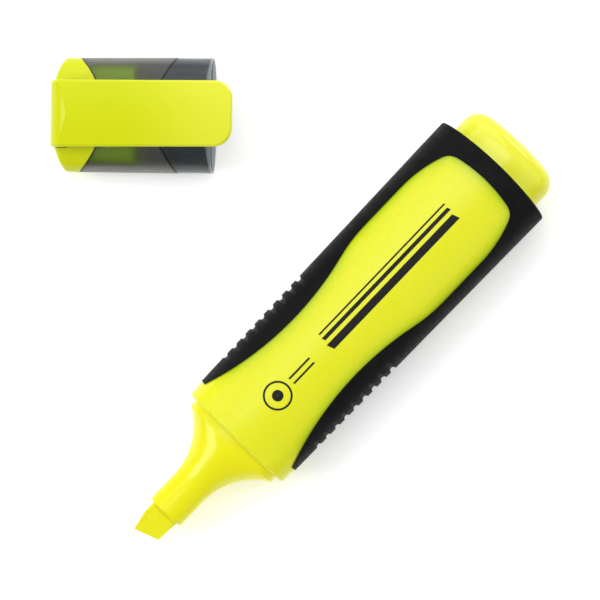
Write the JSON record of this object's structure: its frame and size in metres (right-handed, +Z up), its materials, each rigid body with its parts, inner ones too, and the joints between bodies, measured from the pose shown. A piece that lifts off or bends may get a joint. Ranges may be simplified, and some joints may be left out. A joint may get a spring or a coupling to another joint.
{
  "type": "highlighter",
  "caption": "Flat highlighter with a slanted chisel nib, bell-shaped front, soft rubber grip round its smooth panels, and its smoke-grey cap with a broad clip lying beside it.",
  "frame": {"origin": "middle of the footprint of pen and cap together, on the surface that they lie on", "axes": "+X along the lying cap to within a degree, from its closed end to its mouth; +Z up from the surface; the pen lies turned 46.25 degrees from +X towards +Y, nib towards -X and -Y"},
  "size_m": [0.0998, 0.0964, 0.0173],
  "materials": {
    "yellow_plastic": "semi-gloss moulded",
    "black_rubber": "matte soft-touch",
    "nib_fibre": "ink-soaked pressed fibre",
    "reservoir_fibre": "ink-soaked bonded fibre",
    "wrap_film": "clear film",
    "smoke_plastic": "translucent gloss"
  },
  "bodies": {
    "pen": {"barrel": "yellow_plastic", "grip_sleeve": "black_rubber", "nose": "yellow_plastic", "nib": "nib_fibre", "ink_reservoir": "reservoir_fibre", "reservoir_wrap": "wrap_film", "rear_plug": "yellow_plastic"},
    "cap": {"cap_sleeve": "smoke_plastic", "cap_insert": "yellow_plastic"},
    "clip_arm": {"clip": "yellow_plastic"}
  },
  "joints": [
    {"name": "cap_slide", "type": "slide", "parent": "pen", "child": "cap", "axis": [0.9967, -0.0122, 0.0799], "range_m": [0, 0.0272]},
    {"name": "clip_flex", "type": "hinge", "parent": "cap", "child": "clip_arm", "pos_m": [-0.0497, 0.03681, 0.0069], "axis": [-0.0122, -0.9999, 0], "range_deg": [0, 5], "stiffness_Nm_per_rad": 1.7}
  ]
}
